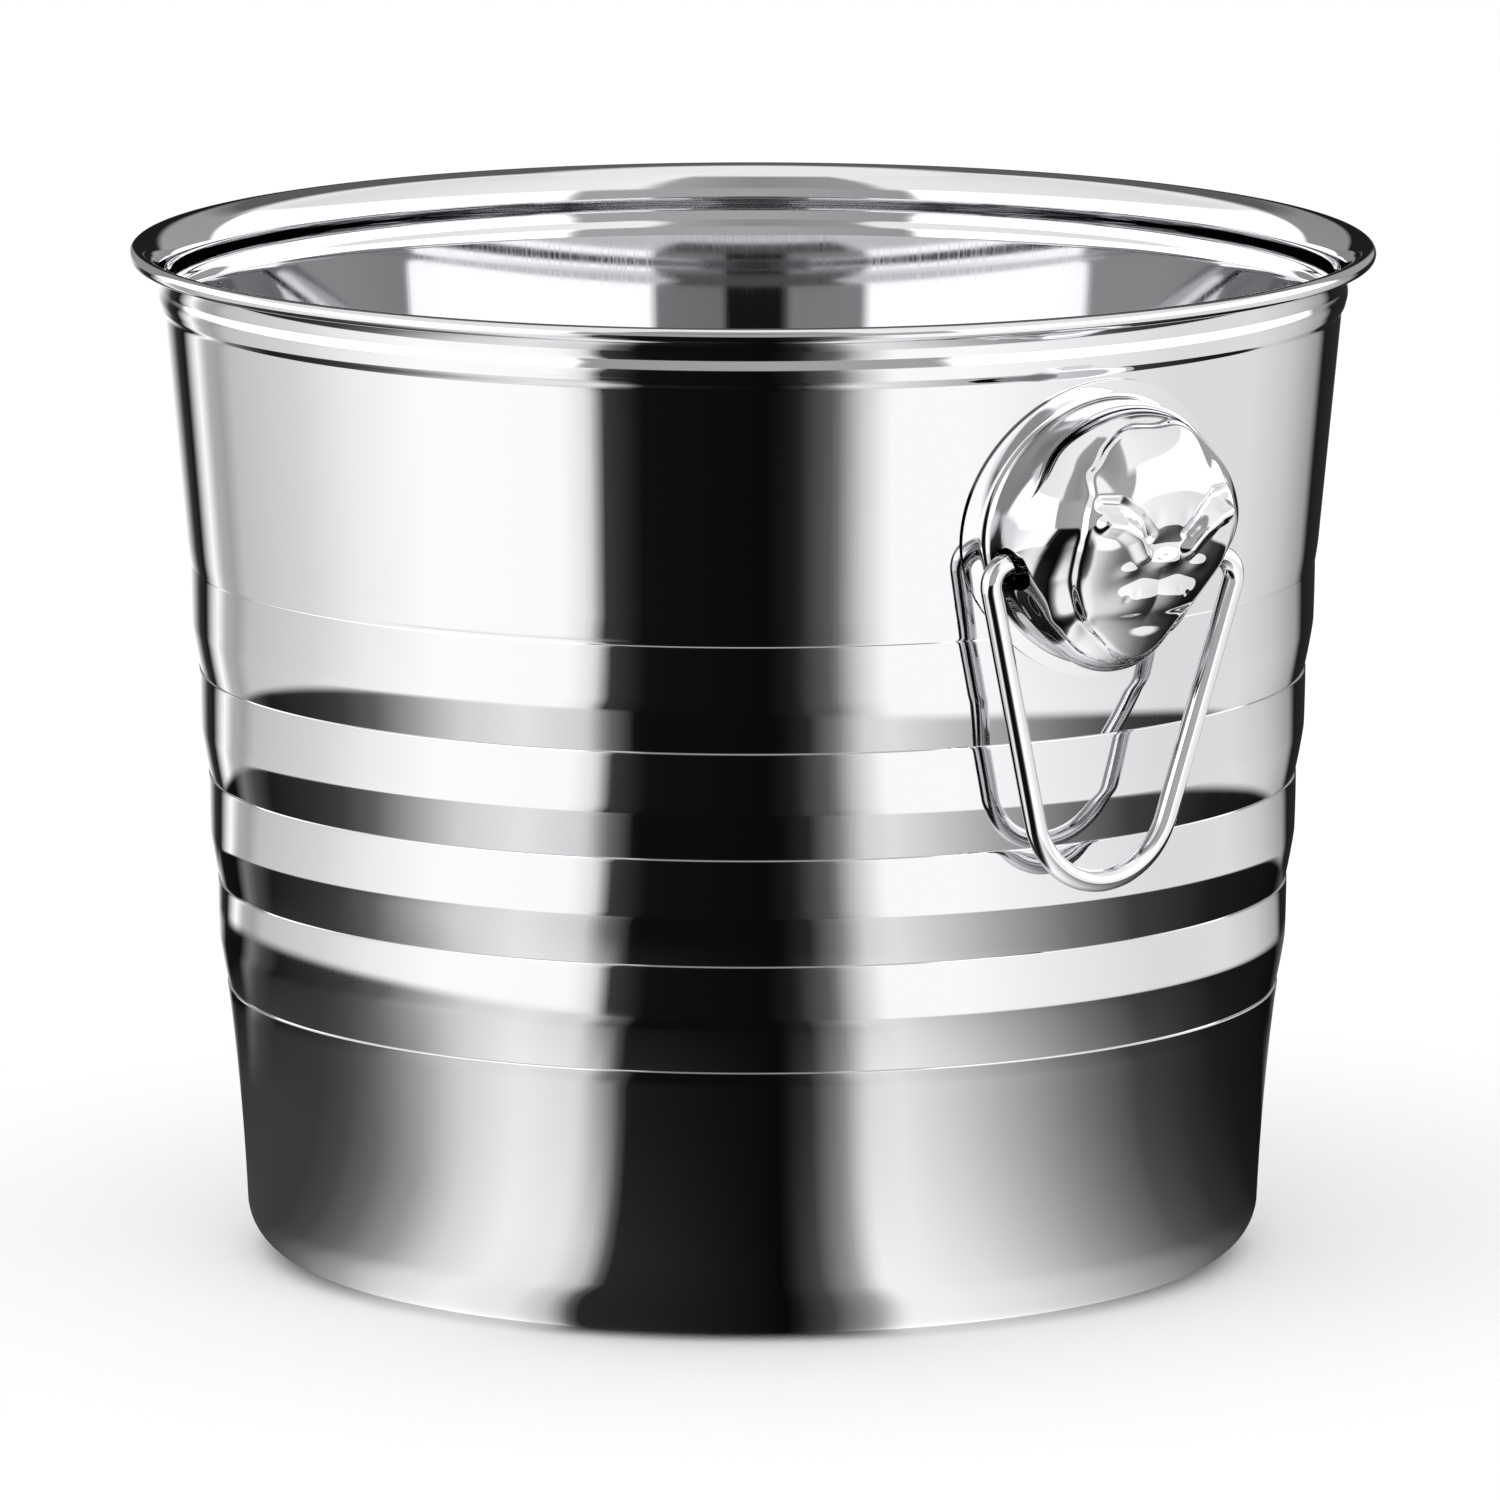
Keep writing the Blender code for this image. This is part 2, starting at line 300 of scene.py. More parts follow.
def rim_outline():
    curl_r, curl_z = CURL_MIDDLE
    points = []
    for share in [0] + shares(18):
        turn = LIP_SWEEP + CURL_TURN * (1 - share)
        points.append((curl_r - CURL_RADIUS * cos(turn), curl_z + CURL_RADIUS * sin(turn)))
    for share in shares(10):
        turn = LIP_SWEEP * (1 - share)
        points.append((NECK_RADIUS + FLARE_RADIUS * (1 - cos(turn)), NECK_TOP + FLARE_RADIUS * sin(turn)))
    return points


def ease(share):
    """From 0 to 1 with a level start and end."""
    share = min(1.0, max(0.0, share))
    return share * share * (3 - 2 * share)


def neck_outline():
    """A shallow bead, then a soft step in to the wall."""
    points = []
    for share in shares(8):
        points.append((NECK_RADIUS + NECK_BULGE * sin(pi * share), NECK_TOP - NECK_HEIGHT * share))
    for share in shares(6):
        z = NECK_BOTTOM - STEP_HEIGHT * share
        points.append((NECK_RADIUS + (wall_radius(WALL_TOP) - NECK_RADIUS) * ease(share), z))
    return points


def wall_outline():
    """The plain wall, whose last stretch turns in to the first crease."""
    top = FIRST_CREASE + SHOULDER_LENGTH
    points = [(wall_radius(z), z) for z in (WALL_TOP - 1 * MM, (WALL_TOP + top) / 2, top + 1 * MM)]
    for share in [0] + shares(10):
        z = top - SHOULDER_LENGTH * share
        points.append((wall_radius(z) - SHOULDER_TURN * share**2, z))
    return points


HOOP_LIP = 0.05 * MM  # how far the top of a hoop stands out past the crease
HOOP_LIP_LENGTH = 0.4 * MM
HOOP_FACE_STEPS = 30
SKIRT_STEPS = 14
# Slope of a hoop's face at shares of its height: nearly upright, then rolled in from the middle
# down. It comes in a little more than the next crease does, so each crease is a small ledge.
HOOP_SLOPES = [(0, 0.01), (0.25, 0.02), (0.52, 0.035), (0.60, 0.16), (0.8, 0.19), (1, 0.23)]


def hoop_drop(way):
    """How far a hoop's face has come in at a share of its height, as the sum of its slopes."""
    drop = 0
    for (start, slope), (stop, next_slope) in zip(HOOP_SLOPES, HOOP_SLOPES[1:]):
        share = min(1.0, max(0.0, (way - start) / (stop - start)))
        drop += (stop - start) * share * (slope + (next_slope - slope) * share / 2)
    return drop * HOOP_PITCH


def hoop_outline(index):
    """A small sharp lip at the crease, then an upright band that rolls in towards its foot."""
    top = FIRST_CREASE - HOOP_PITCH * index
    radius = crease_radius(index)
    points = []
    for share in shares(3):
        points.append((radius + HOOP_LIP * sin(share * pi / 2), top - HOOP_LIP_LENGTH * share))
    start = HOOP_LIP_LENGTH / HOOP_PITCH
    for share in shares(HOOP_FACE_STEPS):
        way = start + (1 - start) * share
        points.append((radius + HOOP_LIP - hoop_drop(way), top - HOOP_PITCH * way))
    return points


def foot_outline():
    """The skirt below the last crease, the round corner, and the base with its raised panel."""
    skirt = LAST_CREASE - CORNER_RADIUS
    corner_top = FOOT_RADIUS + CORNER_RADIUS
    bow = crease_radius(HOOP_COUNT) - corner_top - SKIRT_TAPER * skirt
    points = []
    for share in shares(3):
        radius = crease_radius(HOOP_COUNT) + HOOP_LIP * sin(share * pi / 2)
        points.append((radius, LAST_CREASE - HOOP_LIP_LENGTH * share))
    for share in shares(SKIRT_STEPS):
        rise = 1 - share - (1 - share) * HOOP_LIP_LENGTH / skirt
        extra = HOOP_LIP * max(0.0, 1 - 4 * share)  # the lip dies out in the first quarter
        points.append(
            (corner_top + SKIRT_TAPER * skirt * rise + bow * rise**2 + extra, CORNER_RADIUS + skirt * rise)
        )
    points += arc((FOOT_RADIUS, CORNER_RADIUS), CORNER_RADIUS, 0, -pi / 2, 14)[1:]
    panel = FOOT_RADIUS - PANEL_MARGIN
    for share in [0] + shares(6):
        points.append((panel - PANEL_SLOPE * share, PANEL_RISE * ease(share)))
    return points + [(panel / 2, PANEL_RISE), (0, PANEL_RISE)]


outline = rim_outline() + neck_outline() + wall_outline()
for index in range(HOOP_COUNT):
    outline += hoop_outline(index)
outline += foot_outline()
print(len(outline), "points in the outline")

# %% [markdown]
# The spin merges its last step with its first, and the vertices on the axis are merged into one.
# The normals are worked out again after that, and before the sheet gets its thickness.

# %% Spin the outline and give it a thickness
bm = line_bmesh([(r, 0, z) for r, z in outline])
bmesh.ops.spin(
    bm,
    geom=bm.verts[:] + bm.edges[:],
    cent=(0, 0, 0),
    axis=(0, 0, 1),
    angle=2 * pi,
    steps=ROUND_STEPS,
    use_merge=True,
)
bmesh.ops.remove_doubles(bm, verts=bm.verts, dist=MERGE)
bmesh.ops.recalc_face_normals(bm, faces=bm.faces)
wall_quad = min(bm.faces, key=lambda face: abs(face.calc_center_median().z - HEIGHT * 0.75))
if wall_quad.normal.dot(wall_quad.calc_center_median() * Vector((1, 1, 0))) < 0:
    bmesh.ops.reverse_faces(bm, faces=bm.faces)
bucket = mesh_object(bm, "bucket_of_drawn_sheet")
add_sheet(bucket, SHEET)
bake_modifiers(bucket)
smooth(bucket.data, 50)
finish_piece(bucket, SHEET_STEEL, "bucket", "bucket_body")

# %% [markdown]
# ## The masks
#
# Each mask is a shell 0.5 mm thick, pressed between two dies: a round hood that stands off the
# wall, the animal's face at its front, and a thin brim that follows the wall and is tacked to it.
# A plain dome is spun first, with its rings close together, and its vertices are then pushed
# out or in along the surface to make the face. That keeps the shell one clean surface.

# %% Sizes of the masks
MASK_DEPTH = 40.1 * MM
MASK_SHEET = 0.5 * MM
GAP = 0.2 * MM
HEAD_HALF_WIDTH = 23.9 * MM
HEAD_BASE = 3.5 * MM
HEAD_REACH = 17.0 * MM
HEAD_FULLNESS = 2.75
CHIN_NARROWING = 0.15
BRIM_WIDTH = 4.4 * MM
BRIM_HEIGHT = 3.5 * MM
BRIM_FILLET = 1.2 * MM
MASK_STEPS = 280
HEAD_RINGS = 110
MASK_HEIGHT = HEIGHT - MASK_DEPTH
HEAD_FRONT = HEAD_BASE + HEAD_REACH

# %% [markdown]
# The face is laid out in millimetres from the middle of the head. Swells are soft round rises or
# hollows, and folds are rises or grooves along a line. Both come in pairs, one for each side. The
# whole face is a plate that stands a little proud of the hood, with a wavy edge where the hair
# begins.

# %% The features of the face
# Swells: place across and up, spread across and up, height
SWELLS = [
    (0, 11, 9, 6, 1.1),  # forehead
    (0, 0.0, 4.5, 1.6, -1.0),  # root of the nose
    (7.4, -4.9, 1.5, 0.9, 0.75),  # eyelids
    (0, -3.6, 2.0, 1.2, 1.5),  # nose
    (3.8, -10.2, 4.2, 2.1, 2.1),  # muzzle
    (0, -22, 10.5, 4.5, 3.0),  # chin
    (12.5, -5, 3.0, 4.0, 0.7),  # cheeks
    (3.2, 4.0, 0.9, 1.4, -0.3),  # frown
    (15, 16, 5, 4, -1.1),  # hollow at the temples
    (12, 11.5, 2.2, 3.2, -0.5),
    (4.6, -8.8, 0.35, 0.35, -0.2),  # roots of the whiskers
    (6.4, -9.8, 0.35, 0.35, -0.2),
]
# Folds: a line of places, half width, height
FOLDS = [
    ([(5.0, -1.8), (7.5, 1.4), (10.5, 3.6), (13, 4.2)], 2.3, 1.7),  # brows
    ([(4.2, 1.6), (7.0, 5.2), (10.4, 7.6), (13.4, 7.8)], 1.7, -0.9),  # groove over the brows
    ([(17.4, 0.0), (16.8, -6), (13.6, -12.5)], 3.0, -0.35),  # crease behind the cheek
]
# Edge of the plate: angle above the middle in degrees, and radius
PLATE_EDGE = [(-90, 21), (-60, 19), (-30, 18), (10, 17.8), (30, 18.2), (45, 20.0), (60, 21.4), (90, 21.2)]
PLATE_RISE = 0.8
PLATE_SLOPE = 1.6
HAIR_WAVES = 11
HAIR_WAVE_HEIGHT = 0.35
# The lower face slopes back from the forehead, and the jaw lies back under the muzzle
FACE_TOP, FACE_LENGTH, FACE_SETBACK = 4, 18, 6.0
MOUTH, MOUTH_LENGTH, MOUTH_SETBACK = -12.0, 3.4, 1.1
MOUTH_HALF_WIDTH, MOUTH_CORNER = 13, 4
# The face is pressed in full near the front, and less and less towards the brim
PRESS_GROWTH, PRESS_START = 2, 0.35


# %% Turn the features into one height at each place
def distance_to(line, across, up):
    """From a place to the nearest point of a line of places."""
    nearest = 1e9
    for (x0, y0), (x1, y1) in zip(line, line[1:]):
        dx, dy = x1 - x0, y1 - y0
        share = ((across - x0) * dx + (up - y0) * dy) / (dx * dx + dy * dy)
        share = min(1.0, max(0.0, share))
        nearest = min(nearest, hypot(across - x0 - share * dx, up - y0 - share * dy))
    return nearest


def plate_height(across, up):
    """Height of the plate that the face stands on, in mm."""
    angle = degrees(atan2(up, across))
    radius = PLATE_EDGE[-1][1]
    for (a0, r0), (a1, r1) in zip(PLATE_EDGE, PLATE_EDGE[1:]):
        if a0 <= angle <= a1:
            radius = r0 + (r1 - r0) * ease((angle - a0) / (a1 - a0))
    radius += HAIR_WAVE_HEIGHT * sin(radians(angle * HAIR_WAVES)) * ease((angle - 20) / 25)
    return PLATE_RISE * ease((radius - hypot(across, up)) / PLATE_SLOPE)


def face_height(across, up):
    """How far the face stands out of the plain dome, in mm. It is the same on both sides."""
    across = abs(across)
    height = plate_height(across, up)
    for x, y, wide, tall, rise in SWELLS:
        away = ((across - x) / wide) ** 2 + ((up - y) / tall) ** 2
        if away < 20:
            height += rise * exp(-away / 2)
    for line, half_width, rise in FOLDS:
        away = distance_to(line, across, up) / half_width
        if away < 1:
            height += rise * (1 - away * away) ** 2
    return height


print("the nose stands out by", round(face_height(0, -3), 2), "mm")
print("the eyes stand out by", round(face_height(7.8, -4.6), 2), "mm")

# %% [markdown]
# The dome is spun about an axis that points out of the wall. Its section is fuller than a half
# circle, nearly flat in front. The brim is wider at the sides than above and below, and the whole
# is then bent to the round wall.


# %% Spin the head and seat it on the wall
def head_outline():
    """Half section as (distance from the wall, radius), from front to brim."""
    points = [(HEAD_FRONT, 0)]
    for share in shares(HEAD_RINGS):
        radius = sin(share * pi / 2)
        reach = max(0.0, 1 - radius**HEAD_FULLNESS) ** (1 / HEAD_FULLNESS)
        points.append((HEAD_BASE + HEAD_REACH * reach, HEAD_HALF_WIDTH * radius))
    fillet_middle = (MASK_SHEET + BRIM_FILLET, HEAD_HALF_WIDTH + BRIM_FILLET)
    points += arc(fillet_middle, BRIM_FILLET, -pi / 2, -pi, 6)
    for share in shares(8):
        points.append((MASK_SHEET, HEAD_HALF_WIDTH + BRIM_FILLET + (BRIM_WIDTH - BRIM_FILLET) * share))
    return points


def seat_on_wall(bm):
    """Makes the brim shallow and the chin narrow, and lays the back of the dome on the wall."""
    flat = wall_radius(MASK_HEIGHT)
    for vert in bm.verts:
        off_wall, across, up = vert.co
        brim = max(0.0, hypot(across, up) - HEAD_HALF_WIDTH)
        up -= brim * (1 - BRIM_HEIGHT / BRIM_WIDTH) * up / HEAD_HALF_WIDTH
        lower = max(0.0, -up / HEAD_HALF_WIDTH)
        across *= 1 - CHIN_NARROWING * lower**2
        front = off_wall / HEAD_FRONT
        bend = wall_face(across, MASK_HEIGHT + up) - flat
        vert.co = (flat + GAP + off_wall + bend * (1 - front), across, MASK_HEIGHT + up)


def press_face(bm):
    """Sets the lower face back along the axis, then pushes every vertex along its normal."""
    bm.normal_update()
    moves = []
    for vert in bm.verts:
        across, up = vert.co.y / MM, (vert.co.z - MASK_HEIGHT) / MM
        off_wall = vert.co.x - wall_face(vert.co.y, vert.co.z) - GAP
        share = ease(PRESS_GROWTH * off_wall / HEAD_FRONT - PRESS_START)
        setback = FACE_SETBACK * ease((FACE_TOP - up) / FACE_LENGTH)
        jaw = ease((MOUTH - up) / MOUTH_LENGTH) * ease((MOUTH_HALF_WIDTH - abs(across)) / MOUTH_CORNER)
        setback += MOUTH_SETBACK * jaw
        setback *= share * MM
        moves.append(vert.normal * face_height(across, up) * share * MM - Vector((setback, 0, 0)))
    for vert, move in zip(bm.verts, moves):
        vert.co += move


bm = line_bmesh([(off_wall, 0, radius) for off_wall, radius in head_outline()])
bmesh.ops.spin(
    bm,
    geom=bm.verts[:] + bm.edges[:],
    cent=(0, 0, 0),
    axis=(1, 0, 0),
    angle=2 * pi,
    steps=MASK_STEPS,
    use_merge=True,
)
bmesh.ops.remove_doubles(bm, verts=bm.verts, dist=MERGE)
seat_on_wall(bm)
bmesh.ops.recalc_face_normals(bm, faces=bm.faces)
front_face = max(bm.faces, key=lambda face: face.calc_center_median().x)
if front_face.normal.x < 0:
    bmesh.ops.reverse_faces(bm, faces=bm.faces)
press_face(bm)
print(len(bm.verts), "vertices in the pressing")

# %% [markdown]
# The sheet gets its thickness behind the pressed face. A round bar then cuts the two cheek holes
# that the ring's ends turn in. The wire lies low in them.

# %% Thicken the sheet and cut the cheek holes
HOLE_RADIUS = 4.0 * MM
HOLE_RISE = 0.3 * MM
hinge = Vector(frame["joints"][0]["pos_m"])
hinge.x = abs(hinge.x)

mask = mesh_object(bm, "mask_right_pressing")
add_sheet(mask, MASK_SHEET)
bm = bmesh.new()
bmesh.ops.create_cone(
    bm, cap_ends=True, segments=48, radius1=HOLE_RADIUS, radius2=HOLE_RADIUS, depth=3 * HEAD_HALF_WIDTH
)
bmesh.ops.rotate(bm, verts=bm.verts, cent=(0, 0, 0), matrix=Matrix.Rotation(pi / 2, 3, "X"))
bmesh.ops.translate(bm, verts=bm.verts, vec=hinge + Vector((0, 0, HOLE_RISE)))
bar = mesh_object(bm, "cheek_bar")
holes = mask.modifiers.new("Cheek holes", "BOOLEAN")
holes.object = bar
bake_modifiers(mask)
bpy.data.objects.remove(bar)
smooth(mask.data, 45)
other_mask = mask.copy()
other_mask.data = mask.data.copy()
other_mask.data.transform(Matrix.Rotation(pi, 4, "Z"))
other_mask.name = "mask_left_pressing"
bpy.context.scene.collection.objects.link(other_mask)
finish_piece(mask, PRESSED_STEEL, "bucket", "mask_right")
finish_piece(other_mask, PRESSED_STEEL, "bucket", "mask_left")

# %% [markdown]
# ## The ring handles
#
# A ring is one length of 4 mm wire bent on pegs: a short end inside the cheek, a tight bend, a
# straight leg and the wide bow at the bottom, and the same again up to the other cheek. The
# circle of the wire's section is pushed along that way. Straight stretches are extruded, bends
# are spun about the peg, and the second half is the mirror of the first.

# %% Bend the wire
WIRE_RADIUS = 2.0 * MM
WIRE_SIDES = 28
RING_LENGTH = 58.4 * MM
RING_BEND = 4.0 * MM
RING_BOW = 15.4 * MM
RING_STUB = 5.0 * MM
LEG_CLEARANCE = 1.4 * MM
RING_SHOULDER = HEAD_HALF_WIDTH + LEG_CLEARANCE + WIRE_RADIUS
RING_ASKEW = radians(3.4)  # the ring hangs a little crooked in its loose holes
RING_ASIDE = 0.4 * MM
PEG_STEPS = 14
BOW_STEPS = 24


def bent_wire():
    """A ring hanging from the hinge on the right, with its opening upwards."""
    bend_y, bend_z = RING_SHOULDER - RING_BEND, -RING_BEND
    bow_z = RING_BOW - RING_LENGTH
    apart = hypot(bend_y, bend_z - bow_z)
    facing = atan2(bend_z - bow_z, bend_y) - acos((RING_BOW - RING_BEND) / apart)
    bm = bmesh.new()
    bmesh.ops.create_circle(bm, cap_ends=False, segments=WIRE_SIDES, radius=WIRE_RADIUS)
    bmesh.ops.rotate(bm, verts=bm.verts, cent=(0, 0, 0), matrix=Matrix.Rotation(pi / 2, 3, "X"))
    bmesh.ops.translate(bm, verts=bm.verts, vec=(0, bend_y - RING_STUB, 0))
    end = bm.edges[:]

    def straight(edges, way):
        made = bmesh.ops.extrude_edge_only(bm, edges=edges)["geom"]
        moved = [part for part in made if isinstance(part, bmesh.types.BMVert)]
        bmesh.ops.translate(bm, verts=moved, vec=way)
        return [part for part in made if isinstance(part, bmesh.types.BMEdge) and part.is_boundary]

    def bend(edges, y, z, angle, steps):
        made = bmesh.ops.spin(
            bm, geom=edges, cent=(0, y, z), axis=(1, 0, 0), angle=angle, steps=steps, use_duplicate=False
        )["geom_last"]
        return [part for part in made if isinstance(part, bmesh.types.BMEdge)]

    end = straight(end, (0, RING_STUB, 0))
    end = bend(end, bend_y, bend_z, facing - pi / 2, PEG_STEPS)
    bow_start = Vector((0, RING_BOW * cos(facing), bow_z + RING_BOW * sin(facing)))
    bend_end = Vector((0, bend_y + RING_BEND * cos(facing), bend_z + RING_BEND * sin(facing)))
    end = straight(end, bow_start - bend_end)
    end = bend(end, 0, bow_z, -pi / 2 - facing, BOW_STEPS)
    bmesh.ops.mirror(bm, geom=bm.verts[:] + bm.edges[:] + bm.faces[:], axis="Y", merge_dist=0.01 * MM)
    bmesh.ops.holes_fill(bm, edges=[edge for edge in bm.edges if edge.is_boundary], sides=WIRE_SIDES)
    bmesh.ops.rotate(bm, verts=bm.verts, cent=(0, 0, 0), matrix=Matrix.Rotation(-RING_ASKEW, 3, "X"))
    bmesh.ops.translate(bm, verts=bm.verts, vec=hinge + Vector((0, RING_ASIDE, 0)))
    bmesh.ops.recalc_face_normals(bm, faces=bm.faces)
    return bm


for side, turn in (("right", 0), ("left", pi)):
    bm = bent_wire()
    bmesh.ops.rotate(bm, verts=bm.verts, cent=(0, 0, 0), matrix=Matrix.Rotation(turn, 3, "Z"))
    ring = mesh_object(bm, f"ring_{side}_wire")
    smooth(ring.data, 50)
    finish_piece(ring, WIRE_STEEL, f"ring_{side}", f"ring_handle_{side}")

# %% [markdown]
# ## The studio
#
# Polished metal is photographed in a tent of white card, so that it has something even to
# reflect, with black flags that give it its dark bands. Here the tent is a glowing shell instead,
# and its white and black bands are painted reflections, laid out by the angle round the bucket.
# Its floor is painted darker close round the bucket, as painted shade. Without them a mirror
# bucket on a white floor would be white on white.
#
# The tent and its floor are seen only in reflections, and light nothing. The floor that the camera
# sees is plain and pale. Angles are counted from the camera's side of the bucket, and grow to its right.

# %% Camera
CAMERA_TURN = radians(54.1)
CAMERA_DISTANCE = 2.867
CAMERA_HEIGHT = 0.5780
CAMERA_TILT = radians(9.604)
CAMERA_LENS = 375.7

camera_data = bpy.data.cameras.new("camera")
camera_data.lens = CAMERA_LENS
camera_data.sensor_width = 36
camera_data.shift_x = -0.0016
camera_data.clip_end = 50
camera = bpy.data.objects.new("camera", camera_data)
camera.location = (CAMERA_DISTANCE * sin(CAMERA_TURN), -CAMERA_DISTANCE * cos(CAMERA_TURN), CAMERA_HEIGHT)
camera.rotation_euler = (pi / 2 - CAMERA_TILT, 0, CAMERA_TURN)
bpy.context.scene.collection.objects.link(camera)
bpy.context.scene.camera = camera
print("camera at", [round(c, 3) for c in camera.location])

# %% The tent's paint: painted reflections, given off as light
TENT_RADIUS = 4.0
REFLECTANCE = 0.64  # of the steel, which the tent's brightness makes up for


def ramp(tree, value, stops, low, high):
    """Brightness along a line of stops, each (place, brightness). It holds up to 32 stops."""
    share = node(tree, "ShaderNodeMapRange", Value=value, From_Min=low, From_Max=high).outputs["Result"]
    made = node(tree, "ShaderNodeValToRGB", Fac=share)
    elements = made.color_ramp.elements
    while len(elements) < len(stops):
        elements.new(0.5)
    for element, (place, bright) in zip(elements, stops):
        element.position = (place - low) / (high - low)
        element.color = (bright, bright, bright, 1)
    return made.outputs["Color"]


def ramp_round(tree, angle, stops):
    """Brightness by the angle round the bucket, in degrees."""
    return ramp(tree, angle, stops, -180, 180)


def step_at(tree, value, start, end, top, high=1.0):
    """0 up to start, then rising to high at end, and level from there to top."""
    return ramp(tree, value, [(0, 0.0), (start, 0.0), (end, high), (top, high)], 0, top)


def angle_from_camera(tree, axes):
    """Degrees round the bucket from the side where the camera is."""
    turn = node(tree, "ShaderNodeMath", {"operation": "ARCTAN2"}, i0=axes["Y"], i1=axes["X"])
    return node(tree, "ShaderNodeMath", {"operation": "DEGREES"}, i0=turn.outputs[0]).outputs[0]


def mix(tree, factor, a, b):
    """Colour a where the factor is 0, and colour b where it is 1."""
    made = node(tree, "ShaderNodeMix", {"data_type": "RGBA"}, i0=factor)
    tree.links.new(a, made.inputs[6])
    tree.links.new(b, made.inputs[7])
    return made.outputs[2]


def glow(tree, colour):
    """Light of this colour, made brighter by what the steel takes away."""
    light = node(tree, "ShaderNodeEmission", Color=colour, Strength=1 / REFLECTANCE)
    node(tree, "ShaderNodeOutputMaterial", Surface=light.outputs[0])


# %% The tent's walls, painted reflections: brighter to each side and painted dark in front and behind
# The far floor comes first, since the foot of the wall carries on its tones.
# Painted reflections by the angle round the bucket: tones of the far floor, of the walls with their bright
# bands and dark flag bands, and of the upper walls.
FAR_FLOOR_STOPS = [
    (-180, 0.5), (-166, 0.8), (-160, 0.6), (-155, 0.3), (-150, 0.03), (-143, 0.006), (-138, 0.6),
    (-135, 0.88), (-130, 0.4), (-124, 0.33), (-118, 0.5), (-95, 0.65), (-80, 0.83), (-62, 0.97),
    (-35, 0.95), (-30, 0.75), (-27, 0.04), (-20, 0.005), (3, 0.003), (8, 0.012), (15, 0.11),
    (20, 0.6), (25, 0.94), (40, 0.94), (60, 0.82), (85, 0.7), (110, 0.69), (125, 0.54),
    (141, 0.28), (146, 0.01), (166, 0.02), (180, 0.5),
]  # fmt: skip
WALL_STOPS = [
    (-180, 0.01), (-170, 0.01), (-168, 0.22), (-142, 0.25), (-138, 1.6), (-60, 1.6), (-35, 1.5),
    (-32, 0.3), (0, 0.35), (36, 0.35), (40, 1.5), (60, 1.6), (132, 1.6), (136, 0.3), (164, 0.28),
    (168, 0.01), (180, 0.01),
]  # fmt: skip
UPPER_WALL_STOPS = [
    (-180, 0.1), (-145, 0.1), (-138, 0.8), (-120, 0.7), (-30, 0.8), (-26, 0.3), (0, 0.25),
    (20, 0.35), (25, 0.85), (120, 0.7), (134, 0.8), (142, 0.1), (180, 0.1),
]  # fmt: skip
WALL_FOOT = 0.3
# Heights where the painted dark flag bands give way to the upper walls, and where the painted roof begins.
PAINTED_BANDS_TOP, PAINTED_BANDS_BLUR = 1.9, 0.4
ROOF_START, ROOF_BLUR, ROOF_BRIGHTNESS = 3.6, 0.2, 0.8


# The walls glow with painted reflections of white card and black flags, seen only in the steel.
def painted_reflection_walls():
    material, tree = new_material("tent_wall_painted_reflections")
    place = node(tree, "ShaderNodeTexCoord").outputs["Object"]
    axes = node(tree, "ShaderNodeSeparateXYZ", i0=place).outputs
    angle = angle_from_camera(tree, axes)
    horizon = ramp_round(tree, angle, FAR_FLOOR_STOPS)
    painted_wall_bands = ramp_round(tree, angle, WALL_STOPS)
    upper = ramp_round(tree, angle, UPPER_WALL_STOPS)
    leaves_floor = ramp(tree, axes["Z"], [(0, 0.0), (WALL_FOOT, 1.0), (TENT_RADIUS, 1.0)], 0, TENT_RADIUS)
    above_painted_bands = step_at(tree, axes["Z"], PAINTED_BANDS_TOP, PAINTED_BANDS_TOP + PAINTED_BANDS_BLUR, TENT_RADIUS)
    walls = mix(tree, above_painted_bands, mix(tree, leaves_floor, horizon, painted_wall_bands), upper)
    roof = step_at(tree, axes["Z"], ROOF_START, ROOF_START + ROOF_BLUR, TENT_RADIUS, ROOF_BRIGHTNESS)
    lighter = {"data_type": "RGBA", "blend_type": "LIGHTEN"}
    glow(tree, node(tree, "ShaderNodeMix", lighter, i0=1.0, i6=walls, i7=roof).outputs[2])
    return material


# %% The tent's floor, painted reflections in three rings: under the bucket, near it, and far
# Painted reflections of the floor by angle. The rings under and near the bucket are mostly darker than the
# far floor, as painted shade round the bucket.
NEAR_FLOOR_STOPS = [
    (-180, 0.5), (-155, 0.5), (-150, 0.2), (-145, 0.006), (-130, 0.004), (-124, 0.15),
    (-118, 0.06), (-110, 0.011), (-95, 0.025), (-85, 0.043), (-75, 0.11), (-65, 0.34),
    (-55, 0.62), (-42, 0.76), (-30, 0.62), (-26, 0.15), (-21, 0.004), (5, 0.003), (10, 0.02),
    (15, 0.17), (20, 0.65), (25, 0.73), (35, 0.54), (45, 0.36), (60, 0.16), (75, 0.045),
    (100, 0.011), (140, 0.003), (155, 0.1), (166, 0.4), (180, 0.5),
]  # fmt: skip
UNDER_FLOOR_STOPS = [
    (-180, 0.5), (-155, 0.4), (-140, 0.03), (-110, 0.04), (-90, 0.04), (-80, 0.06), (-70, 0.13),
    (-60, 0.3), (-50, 0.65), (-40, 0.85), (-30, 0.78), (-25, 0.5), (-22, 0.02), (5, 0.002),
    (10, 0.06), (15, 0.3), (19, 0.88), (25, 0.85), (35, 0.72), (45, 0.52), (55, 0.32), (65, 0.18),
    (75, 0.08), (90, 0.03), (110, 0.009), (135, 0.005), (155, 0.4), (180, 0.5),
]  # fmt: skip
UNDER_FLOOR_ENDS, UNDER_FLOOR_BLUR = 0.2, 0.04
FAR_FLOOR_STARTS, FAR_FLOOR_BLUR = 0.346, 0.008
RINGS_MIDDLE = (-0.02, -0.022, 0)  # so the far floor starts farther off behind and on the left
FLOOR_EDGE = 1  # the ramps between the rings run to here
